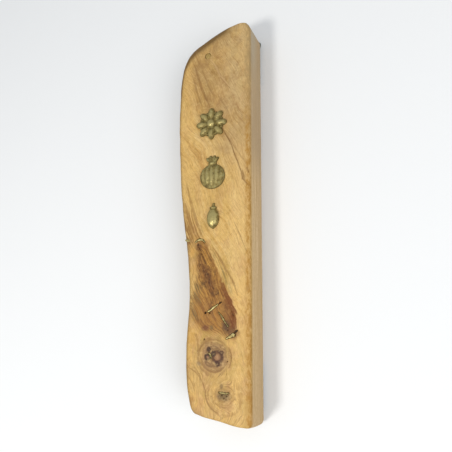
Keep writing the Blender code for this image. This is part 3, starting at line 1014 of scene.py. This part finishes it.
def grain_field(g, x, y, z, raw):
    """(across, along): millimetres across the growth layers and along the grain, bent round the knots."""
    wander = (g.noise(raw, 0.05, 1.0, 0.4) - 0.5) * 9.0 + (g.noise(raw, 0.15, 0.0, 0.5) - 0.5) * 2.0
    below = (BEND_FROM - z).most(0.0)
    across = x * GRAIN_X + z * GRAIN_Z + (y - FRONT) * GRAIN_Y + below * below * BEND + wander
    along = z * GRAIN_X - x * GRAIN_Z
    rings = []
    for knot_x, knot_z, reach in (BIG_KNOT, LOW_KNOT):
        dx, dz = x - knot_x, z - knot_z
        far = (dx * dx * 1.1 + dz * dz).root() + (g.noise(raw, 0.3, 3.0, 0.55) - 0.5) * 3.4
        pull = (far * far * (-1.0 / reach**2)).exp()
        deep = max(0.0, BEND_FROM - knot_z)
        centre = knot_x * GRAIN_X + knot_z * GRAIN_Z + deep * deep * BEND
        across = across + (across * -1 + centre - far * 1.2) * pull
        rings.append(far)
    return across, along, rings


def wood(name):
    """Oiled olive wood."""
    g = Graph(name)
    step, band, coat = g.step, g.band, g.coat
    (x, y, z), raw = g.place()
    across, along, (far_big, far_low) = grain_field(g, x, y, z, raw)

    def layered(over, down, third, *look):
        """Noise stretched along the grain."""
        return g.noise((across * over, along * down, third), 1.0, *look)

    broad = layered(0.15, 0.012, y * 0.02, 2.0, 0.5)
    layers = layered(0.55, 0.022, 3.0, 3.0, 0.55)
    lines = layered(1.7, 0.05, 7.0, 3.0)
    hairs = layered(3.4, 0.10, 5.0)
    fibres = layered(6.5, 0.42, y * 0.4)
    mottle = g.noise(raw, 0.75, 4.0)
    cloud = g.noise(raw, 0.13, 3.0, 0.55)

    drift, speckle, ripple = cloud - 0.5, mottle - 0.5, lines - 0.5
    g.ramp(
        broad * 0.4 + layers * 0.6,
        (0.36, 182, 137, 74),
        (0.44, 205, 163, 95),
        (0.51, 220, 184, 117),
        (0.59, 228, 194, 131),
        (0.68, 212, 173, 105),
    )

    # Greyer and darker in the upper part, partly the wood's own tone and partly painted shade; golden sapwood
    # along the natural edge
    high = step(z + x * 1.6 + drift * 26, 22.0, 46.0)
    coat(high * 0.78, 176, 141, 90)
    pale_khaki = high * step(x + drift * 10, 1.0, 9.0)
    coat(pale_khaki * 0.7, 210, 181, 130)
    patches = g.noise(raw, 0.21, 3.0)
    smudge = high * step(patches + (hairs - 0.5) * 0.25, 0.46, 0.76)
    coat(smudge * 0.6, 140, 102, 58)
    gold = step(x + drift * 6 + (z - 40) * 0.06, -7.2, -10.8) * step(z, -20.0, 5.0)
    coat(gold * 0.7, 224, 184, 112)
    tan = step(across, 17.2, 19.2) * band(z, 0.0, 12.0, 50.0, 34.0)
    coat(tan * 0.5, 188, 154, 102)
    low = step(z + drift * 14, -48.0, -62.0)
    coat(low * 0.55, 200, 160, 96)
    lower_left = step(x + drift * 8, 4.0, -3.0) * step(z, -38.0, -52.0)
    coat(lower_left * 0.3, 172, 134, 78)
    shade = step(x + drift * 8, 4.0, -2.0) * band(z, -39.0, -43.0, -67.0, -61.0)
    coat(shade * 0.5, 160, 122, 68)
    orange = step(x + drift * 8, 7.0, 11.0) * step(z, -20.0, -32.0)
    coat(orange * 0.45, 222, 172, 94)

    calm = step(z + drift * 20, 30.0, 5.0)
    coat(calm * (low * 0.25 + 0.35), 214, 176, 106)
    below = step(z, 25.0, -30.0)
    for shift, low_end, high_end, amount, *hue in (
        (40.0, 0.48, 0.60, 0.62, 184, 150, 78),
        (80.0, 0.49, 0.60, 0.60, 228, 184, 106),
        (120.0, 0.50, 0.62, 0.55, 196, 150, 100),
    ):
        blotch = g.noise((x * 1.1 + shift, y, z * 0.6), 0.22, 4.0, 0.62)
        coat(step(blotch, low_end, high_end) * (below * 0.6 + 0.3) * amount, *hue)

    right_pale = step(x + drift * 5, 6.5, 10.5) * step(z, 34.0, 18.0)
    coat(right_pale * (step(z, -28.0, -12.0) * 0.24 + 0.18), 240, 204, 138)

    # Growth lines
    dark_line = step(lines, 0.46, 0.33)
    coat(dark_line * (calm * -0.15 - low * 0.08 + 0.36), 146, 100, 50)
    coat(step(hairs, 0.45, 0.33) * (low * 0.16 + 0.28), 128, 92, 50)
    coat(step(lines, 0.58, 0.68) * 0.28, 236, 204, 144)

    # Dark streaks that run from the natural edge into the heartwood
    edge_streak = step(x + (z + 4) * 0.42 + speckle * 4, -5.4, -8.6) * band(z, 8.0, -6.0, -22.0, -10.0)
    coat(edge_streak * step(lines, 0.62, 0.40) * 0.75, 140, 96, 50)

    # Red-brown heartwood, mottled and streaked
    ragged = speckle * 3.2 + ripple * 4.0
    right_of = x * -1 + ((z * -1 - 11.5) * 0.47 - 2.6).least(10.8) + ragged
    left_of = x + 7.6 + step(z, -27.0, -36.0) * 1.8 + ragged * 1.2 + ((z + 41) * 0.5).least(0.0)
    heart = step(right_of, -0.2, 1.6) * step(left_of, -0.6, 3.0)
    heart = heart * step(z + ragged, -9.5, -15.0) * step(z + ragged + x * 0.25, -50.0, -45.0)
    coat(heart * 0.80, 180, 128, 54)
    dapple = layered(0.5, 0.11, 9.0, 4.0, 0.65)
    coat(heart * step(dapple, 0.56, 0.40) * 0.68, 118, 74, 36)
    coat(heart * step(hairs, 0.50, 0.34) * 0.80, 78, 46, 26)
    coat(heart * step(dapple, 0.55, 0.66) * 0.55, 196, 134, 52)
    coat(heart * step(z, -30.0, -38.0) * 0.35, 140, 92, 52)
    core_x, core_z = (x + z * 0.47 + 14.6) / 3.4, (z + 27.5) / 9.0
    core = hypotenuse(core_x, core_z) + speckle * 1.2 + ripple * 1.5
    coat(step(core, 1.25, 0.35) * 0.66, 98, 58, 34)
    blots = layered(0.9, 0.38, 4.0, 4.0, 0.65)
    coat(heart * step(core, 1.9, 0.7) * step(blots, 0.50, 0.60) * 0.75, 70, 42, 30)
    coat(heart * step(core, 1.6, 0.6) * step(blots, 0.42, 0.34) * 0.6, 168, 116, 58)
    red = band(right_of, 4.4, 2.2, 0.0, 1.0) * band(z, -25.0, -33.0, -50.0, -46.5)
    coat(red * 0.82, 108, 54, 26)
    green = band(left_of, 5.5, 3.2, 0.0, 1.5) * band(z, -27.0, -31.0, -45.0, -41.0)
    coat(green * step(hairs, 0.56, 0.44) * 0.6, 116, 106, 70)
    beside = band(right_of, -2.6, -1.2, 0.2, -0.9) * band(z, -14.0, -20.0, -36.0, -30.0)
    coat(beside * step(hairs, 0.54, 0.42) * 0.7, 122, 110, 68)

    # Knots: rings, and a greyer wood inside
    ring_lines = g.noise((far_big * 1.9, 0.0, mottle * 1.2))
    inside_big = step(far_big + drift * 3, 7.6, 4.2)
    coat(inside_big * 0.78, 150, 116, 80)
    coat(inside_big * step(ring_lines, 0.54, 0.40) * 0.5, 92, 68, 48)
    coat(inside_big * step(mottle, 0.50, 0.66) * 0.35, 190, 150, 96)
    halo = step((far_big - 6.9).size(), 1.0, 0.1) * step(cloud, 0.40, 0.56)
    coat(halo * 0.5, 128, 92, 54)
    inside_low = step(far_low, 4.4, 1.6)
    coat(inside_low * 0.5, 140, 112, 70)
    nest = step(g.noise((far_low * 0.7, 2.0, mottle * 1.2), 1.0, 3.0), 0.52, 0.40)
    nest = nest * step(far_low, 11.0, 7.0) * step(z - x * 0.2, -65.0, -71.0)
    coat(nest * 0.34, 140, 98, 50)

    # Bark pockets and dark rings inside the big knot: x, z, ring radius, width and colour
    wobble = (g.noise(raw, 1.1, 2.0, 0.5) - 0.5) * 0.8
    front = step(y, FRONT + 3, FRONT + 2)
    for spot_x, spot_z, radius, width, *hue in (
        (2.7, -57.0, 0.0, 2.3, 158, 116, 84),
        (-1.3, -57.0, 0.0, 1.2, 150, 108, 84),
        (-0.8, -54.2, 0.50, 0.62, 50, 34, 30),
        (-1.3, -57.0, 0.85, 0.75, 52, 33, 30),
        (2.8, -56.9, 1.85, 1.05, 76, 48, 40),
        (1.1, -55.8, 0.5, 0.9, 58, 42, 36),
        (2.9, -59.4, 0.4, 1.0, 66, 42, 38),
        (4.6, -55.4, 0.3, 0.9, 72, 46, 38),
    ):
        away = (hypotenuse(x - spot_x, z - spot_z) + wobble - radius).size()
        coat(step(away, width, width * 0.3) * front * 0.92, *hue)
    # Spots all over the front: x, z, half width, half height, strength and colour
    for spot_x, spot_z, half_x, half_z, amount, *hue in (
        (-2.4, -46.2, 1.9, 1.4, 0.85, 112, 66, 46),
        (0.2, -46.0, 0.9, 1.2, 0.7, 104, 84, 54),
        (6.3, -45.6, 2.0, 2.6, 0.88, 82, 60, 46),
        (8.9, -48.0, 3.2, 2.2, 0.75, 110, 78, 50),
        (5.4, -70.8, 3.2, 1.9, 0.75, 96, 80, 56),
        (4.5, -67.4, 0.8, 1.3, 0.7, 112, 92, 60),
        (-5.7, -14.4, 1.9, 2.2, 0.85, 112, 74, 44),
        (-8.4, -16.5, 1.6, 2.4, 0.5, 214, 162, 84),
        (-7.6, -23.5, 1.4, 3.2, 0.45, 208, 158, 84),
        (-10.8, -12.2, 2.4, 1.5, 0.7, 120, 82, 46),
        (-4.9, -59.6, 1.2, 0.9, 0.6, 128, 108, 84),
        (-9.0, -50.0, 3.6, 4.5, 0.6, 214, 168, 86),
        (-7.8, -73.2, 1.6, 2.4, 0.6, 172, 122, 66),
        (15.4, -70.0, 1.0, 2.2, 0.5, 150, 112, 66),
        (15.0, -31.0, 1.0, 2.0, 0.6, 150, 112, 62),
        (1.0, -65.5, 5.0, 2.4, 0.55, 178, 144, 84),
    ):
        away = hypotenuse((x - spot_x) / half_x, (z - spot_z) / half_z) + wobble * 0.9
        coat(step(away, 1.2, 0.35) * front * amount, *hue)

    # Fibres and pores
    coat(step(fibres, 0.60, 0.32) * 0.32, 128, 92, 50)
    coat(step(mottle, 0.52, 0.66) * (heart * -0.15 + 0.20), 232, 200, 138)
    coat(step(mottle, 0.46, 0.34) * 0.20, 158, 118, 66)
    pores = g.cells((across * 2.6, along * 0.42, y))
    coat(step(pores, 0.20, 0.07) * 0.45, 104, 74, 42)

    # Sawn side and back, less oiled; painted shade in mottled patches on the right arris
    side = step(y + speckle * 1.8 + (patches - 0.5) * 1.2, FRONT + 1.0, FRONT + 2.9)
    saw = g.noise((x * 1.2 + y * 1.9, z * 0.035, 0.0), 1.0, 3.0)
    face_colour = g.colour
    g.ramp(saw, (0.38, 196, 162, 112), (0.5, 220, 189, 142), (0.62, 234, 205, 160))
    coat(step(mottle, 0.44, 0.62) * 0.3, 178, 146, 98)
    coat(step(y, -2.0, 6.0) * 0.35, 176, 142, 98)
    # The side darker and greyer above the long crack, partly the wood's greyer tone and partly painted shade;
    # painted cool light on the front half of its upper end
    coat(step(z, 8.0, 30.0) * 0.6, 174, 150, 119)
    coat(step(z, 50.0, 76.0) * step(y, 5.0, -3.0) * 0.6, 184, 178, 158)
    g.colour = g.mix(side * 0.86, face_colour, g.colour)
    # Painted shade on the right arris, in mottled patches: orange-brown low down, greyer higher up
    arris = step(x + speckle * 3.4, 13.4, 15.0) * step(y + speckle, FRONT + 1.9, FRONT + 0.9)
    wear_and_shade = step(g.noise((x * 0.9, y * 0.9, z * 0.45), 0.8, 4.0, 0.65), 0.40, 0.60)
    arris_shade_colour = g.mix(step(z, 25.0, 60.0), srgb(170, 124, 54), srgb(168, 140, 94))
    g.colour = g.mix(arris * (wear_and_shade * 0.65 + 0.25), g.colour, arris_shade_colour)
    # Darker along the natural edge: partly patina, partly painted shade, strongest at the top
    patina_and_shade = g.attribute("patina_and_shade")
    coat((patina_and_shade * 1.5 + speckle * patina_and_shade * 2).most(0.0).least(0.88), 106, 80, 44)

    stain = g.attribute("stain") * (ripple * 2.0 + 1.0).least(1.2)
    coat(stain.least(0.9), 122, 84, 42)
    coat(g.attribute("pale") * 0.45, 222, 186, 132)
    # Painted shade: near black inside the holes, cracks and pockets
    coat(g.attribute("hollow_shade") * 0.93, 46, 33, 24)

    roughness = fibres * 0.12 + 0.42 + side * 0.12
    relief = lines * 0.5 + fibres * 0.5 + step(pores, 0.16, 0.06) * -0.6 + mottle * 0.25
    return g.finish(relief, 0.00012, 0.55, Roughness=roughness, Specular_IOR_Level=0.2)


def plain_wood(name):
    """Planed, unfinished wood of the cover: straight grain along Z."""
    g = Graph(name)
    (x, y, z), raw = g.place()
    wander = (g.noise(raw, 0.04, 2.0, 0.5) - 0.5) * 6.0
    across = x + y * 0.6 + wander
    bands = g.noise((across * 0.5, z * 0.012, 1.0), 1.0, 3.0, 0.55)
    lines = g.noise((across * 2.4, z * 0.03, 2.0), 1.0, 3.0)
    fibres = g.noise((across * 7.0, z * 0.25, 3.0))
    g.ramp(bands, (0.3, 180, 140, 88), (0.5, 208, 170, 118), (0.7, 222, 190, 142))
    g.coat(g.step(lines, 0.45, 0.3) * 0.4, 150, 108, 62)
    g.coat(g.step(fibres, 0.55, 0.3) * 0.25, 136, 98, 58)
    pores = g.cells((across * 2.8, z * 0.3, y))
    g.coat(g.step(pores, 0.16, 0.06) * 0.35, 100, 70, 42)
    relief = lines * 0.5 + fibres * 0.5 - g.step(pores, 0.16, 0.06) * 0.6
    return g.finish(relief, 0.00012, 0.6, Roughness=fibres * 0.15 + 0.52, Specular_IOR_Level=0.3)


def aged_brass(name):
    """Cast brass, darkened in the hollows and rubbed on the crests."""
    g = Graph(name)
    _, raw = g.place()
    crest = g.attribute("crest")
    cloud = g.noise(raw, 0.7, 4.0)
    grainy = g.noise(raw, 4.0, 3.0)
    wear_and_shade = g.step(crest + (cloud - 0.5) * 0.7, 0.55, 1.15)
    g.ramp(cloud, (0.36, 104, 90, 46), (0.5, 134, 117, 62), (0.64, 148, 136, 84))
    g.coat(wear_and_shade * 0.85, 206, 190, 128)
    g.coat(g.step(crest, 0.18, 0.0) * 0.6, 82, 74, 44)
    g.coat(g.step(cloud, 0.60, 0.72) * (1 - wear_and_shade) * 0.3, 132, 146, 112)
    relief = grainy * 0.6 + cloud * 0.8
    roughness = 0.55 - wear_and_shade * 0.3 + grainy * 0.1
    return g.finish(relief, 0.00012, 0.6, Metallic=wear_and_shade * 0.5 + 0.35, Roughness=roughness)


def bright_brass(name):
    """Brass sanded flush with the wood: fine scratches and dark spots."""
    g = Graph(name)
    (x, _, z), raw = g.place()
    scratch = g.noise((x * 9.0 + z * 5.0, z * 0.7 - x * 1.2, 0.0))
    cloud = g.noise(raw, 1.3, 4.0)
    g.ramp(cloud, (0.36, 128, 112, 66), (0.5, 176, 158, 100), (0.64, 206, 192, 136))
    g.coat(g.step(cloud, 0.46, 0.36) * 0.8, 88, 78, 50)
    return g.finish(scratch * 0.4 + cloud * 0.8, 0.0001, 0.5, Metallic=0.55, Roughness=scratch * 0.22 + 0.36)


def dull_brass(name, dark, middle, light):
    """Brass gone dull in the wood's oil, in three shades from dark to light."""
    g = Graph(name)
    _, raw = g.place()
    cloud = g.noise(raw, 1.6, 4.0)
    grainy = g.noise(raw, 6.0, 3.0)
    g.ramp(cloud, (0.36, *dark), (0.5, *middle), (0.64, *light))
    return g.finish(grainy * 0.5 + cloud * 0.8, 0.0001, 0.5, Metallic=0.25, Roughness=grainy * 0.2 + 0.42)


def parchment(name):
    """Rolled parchment: cream, mottled, with faint hair follicles."""
    g = Graph(name)
    _, raw = g.place()
    cloud = g.noise(raw, 0.12, 4.0, 0.55)
    speck = g.cells(raw, 1.6)
    g.ramp(cloud, (0.3, 206, 184, 140), (0.5, 226, 208, 168), (0.7, 236, 222, 190))
    g.coat(g.step(speck, 0.22, 0.1) * 0.25, 176, 148, 104)
    relief = cloud + g.step(speck, 0.3, 0.1) * 0.4
    return g.finish(relief, 0.0001, 0.6, Roughness=cloud * 0.2 + 0.6, Specular_IOR_Level=0.3)


def foam(name):
    """Dark grey-green foam tape: small closed cells, and a smoother film of adhesive on the wall side."""
    g = Graph(name)
    (_, y, _), raw = g.place()
    bubbles = g.cells(raw, 3.2)
    cloud = g.noise(raw, 0.5, 3.0, 0.5)
    g.ramp(bubbles, (0.1, 54, 60, 56), (0.5, 88, 96, 88), (0.9, 104, 112, 100))
    g.coat(cloud * 0.3, 116, 122, 108)
    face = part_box("tape_top_right")[1].y / MM
    film = g.step(y, face - 0.06, face - 0.01)
    return g.finish(bubbles * (1.0 - film * 0.7), 0.00015, 0.8, Roughness=0.85 - film * 0.45)


def dress(obj, material, body, node):
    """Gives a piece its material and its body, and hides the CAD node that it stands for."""
    obj.data.materials.clear()
    obj.data.materials.append(material)
    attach(obj, body)
    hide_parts(node)
    return obj


# ---------------------------------------------------------------- the object

dress(make_slab(), wood("oiled_olive_wood"), "case", "case_body")

cast_brass = aged_brass("cast_brass")
for node_name, lobes in (
    ("rosette_ornament", rosette_lobes(-0.7, 37.2)),
    ("pomegranate_ornament", pomegranate_lobes(0.0, 15.9)),
    ("olive_ornament", olive_lobes(0.5, -2.4)),
):
    dress(cast(node_name, lobes), cast_brass, "case", node_name)

sanded_brass = bright_brass("sanded_brass")
khaki_brass = dull_brass("khaki_brass", (100, 88, 54), (154, 136, 80), (188, 172, 114))
plug_brass = dull_brass("plug_brass", (150, 120, 62), (172, 142, 78), (184, 156, 92))
DULL_FILLS = ("vein_fill", "knot_fill", "base_knot_fill")
for node_name, line in FILL_LINES.items():
    look = khaki_brass if node_name in DULL_FILLS else sanded_brass
    dress(make_inlay(node_name, line), look, "case", node_name)
dress(make_nugget(), sanded_brass, "case", "edge_fill")
dress(make_plug(), plug_brass, "case", "top_plug")

dress(make_cover(), plain_wood("planed_wood"), "cover", "back_cover")
dress(make_scroll(), parchment("parchment_sheet"), "case", "scroll_parchment")
foam_look = foam("foam_tape_look")
for node_name in ("tape_top_left", "tape_top_right", "tape_bottom_left", "tape_bottom_right"):
    dress(make_pad(node_name), foam_look, "case", node_name)

# ---------------------------------------------------------------- stage, light and camera

WALL_SIZE = 4.0
FLOOR_DROP = 0.9
WALL_GAP = 0.0004
CAMERA_PLACE = Vector((0.0756, -0.1740, -0.0425))
CAMERA_YAW, CAMERA_PITCH, CAMERA_ROLL = 22.62, 11.17, 0.32
CAMERA_LENS = 37.16


def stage_material(name, colour, see_through_behind=False):
    """Pale matt paint with a faint roller texture. The wall is seen only from the front and lets light by."""
    g = Graph(name)
    _, raw = g.place()
    cloud = g.noise(raw, 0.02, 3.0, 0.5)
    g.colour = g.mix(cloud * 0.03, colour, (0.7, 0.7, 0.72))
    relief = g.noise(raw, 0.6, 3.0)
    g.finish(relief, 0.00005, 0.4, Roughness=0.9, Specular_IOR_Level=0.1)
    if see_through_behind:
        seen = Term(g, g.node("LightPath").outputs["Is Camera Ray"])
        behind = Term(g, g.node("NewGeometry").outputs["Backfacing"])
        clear = g.node("BsdfTransparent").outputs[0]
        either = g.node("MixShader", enumerate(((1 - seen).most(behind), g.shader.outputs[0], clear)))
        g.links.new(either.outputs[0], g.out.inputs[0])
    return g.material


def stage_plane(name, centre, turn, material):
    bpy.ops.mesh.primitive_plane_add(size=WALL_SIZE, location=centre, rotation=turn)
    plane = bpy.context.object
    plane.name = name
    plane.data.materials.append(material)


WALL_COLOUR = (0.876, 0.890, 0.905)
wall_place = (0, cad_high.y + WALL_GAP, WALL_SIZE / 2 - FLOOR_DROP)
stage_plane("wall", wall_place, (math.pi / 2, 0, 0), stage_material("wall_paint", WALL_COLOUR, True))
stage_plane("floor", (0, 0, -FLOOR_DROP), (0, 0, 0), stage_material("floor_paint", WALL_COLOUR))


def area_light(name, place, target, size, power, colour):
    data = bpy.data.lights.new(name, "AREA")
    data.shape = "DISK"
    data.size = size
    data.energy = power
    data.color = colour
    light = new_object(name, data)
    light.location = place
    light.rotation_euler = (Vector(target) - Vector(place)).to_track_quat("-Z", "Y").to_euler()


area_light("key", (-0.17, -0.48, -0.24), (0, 0, -0.02), 0.13, 1.32, (1.0, 0.97, 0.91))
area_light("fill", (0.48, -0.42, -0.22), (0, 0, -0.03), 0.5, 1.9, (1.0, 0.985, 0.965))

world = bpy.data.worlds.new("studio")
world.use_nodes = True
sky = world.node_tree.nodes["Background"]
sky.inputs["Color"].default_value = (0.95, 0.975, 1.0, 1.0)
sky.inputs["Strength"].default_value = 0.545
bpy.context.scene.world = world

yaw, pitch, roll = (math.radians(a) for a in (CAMERA_YAW, CAMERA_PITCH, CAMERA_ROLL))
forward = Vector((-math.sin(yaw) * math.cos(pitch), math.cos(yaw) * math.cos(pitch), math.sin(pitch)))
level = Vector((math.cos(yaw), math.sin(yaw), 0))
upward = level.cross(forward)
right = level * math.cos(roll) + upward * math.sin(roll)
upward = upward * math.cos(roll) - level * math.sin(roll)
camera_data = bpy.data.cameras.new("camera")
camera_data.lens = CAMERA_LENS
camera_data.sensor_width = 36.0
camera_data.clip_start = 0.01
camera = new_object("camera", camera_data)
turned = Matrix((right, upward, -forward)).transposed()
camera.matrix_world = Matrix.Translation(CAMERA_PLACE) @ turned.to_4x4()
bpy.context.scene.camera = camera
bpy.context.scene.view_settings.view_transform = "Standard"
